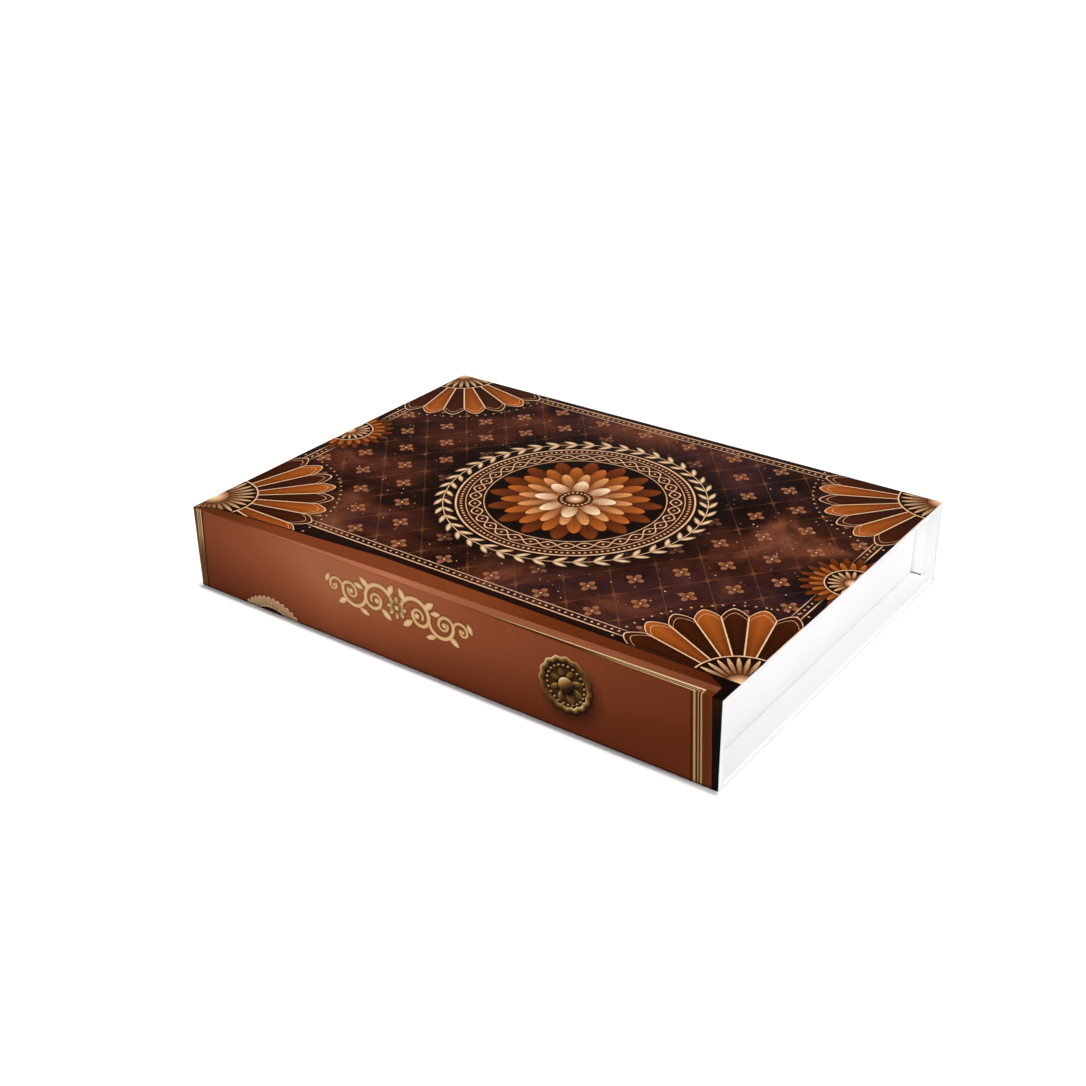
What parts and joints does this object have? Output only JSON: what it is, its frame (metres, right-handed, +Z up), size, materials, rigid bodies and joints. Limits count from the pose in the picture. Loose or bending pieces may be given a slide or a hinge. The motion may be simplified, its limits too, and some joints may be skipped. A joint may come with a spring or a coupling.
{
  "type": "presentation box",
  "caption": "Flat case-bound presentation box: a printed cover folds round a shallow white tray, with a hinged lid and a front flap held shut by hidden magnets.",
  "frame": {"origin": "middle of the underside of the closed box", "axes": "+X along the fold lines, to the right as the flap is faced; +Y from the flap to the spine; +Z up through the lid"},
  "size_m": [0.35, 0.25, 0.0515],
  "materials": {
    "lid_print": "satin",
    "flap_print": "satin",
    "spine_print": "satin",
    "base_print": "satin",
    "white_paper": "matte",
    "grey_board": "matte",
    "kraft_paper": "matte",
    "nickel": "polished",
    "steel": "satin"
  },
  "bodies": {
    "base": {"base_print": "base_print", "base_board": "grey_board", "base_lining": "white_paper", "tray_floor": "grey_board", "tray_front_wall": "grey_board", "tray_back_wall": "grey_board", "tray_left_wall": "grey_board", "tray_right_wall": "grey_board", "tray_keeper_left": "steel", "tray_keeper_right": "steel", "tray_stay_front_left": "kraft_paper", "tray_stay_front_right": "kraft_paper", "tray_stay_back_left": "kraft_paper", "tray_stay_back_right": "kraft_paper", "tray_wrap": "white_paper", "tray_floor_liner": "white_paper"},
    "spine": {"spine_print": "spine_print", "spine_board": "grey_board", "spine_lining": "white_paper"},
    "lid": {"lid_print": "lid_print", "lid_board": "grey_board", "lid_lining": "white_paper"},
    "flap": {"flap_print": "flap_print", "flap_board": "grey_board", "flap_lining": "white_paper", "flap_magnet_left": "nickel", "flap_magnet_right": "nickel"}
  },
  "joints": [
    {"name": "spine_hinge", "type": "hinge", "parent": "base", "child": "spine", "pos_m": [0, 0.125, 0], "axis": [-1, 0, 0], "range_deg": [0, 90]},
    {"name": "lid_hinge", "type": "hinge", "parent": "spine", "child": "lid", "pos_m": [0, 0.125, 0.0515], "axis": [-1, 0, 0], "range_deg": [0, 90]},
    {"name": "flap_hinge", "type": "hinge", "parent": "lid", "child": "flap", "pos_m": [0, -0.125, 0.0515], "axis": [-1, 0, 0], "range_deg": [0, 90]}
  ]
}
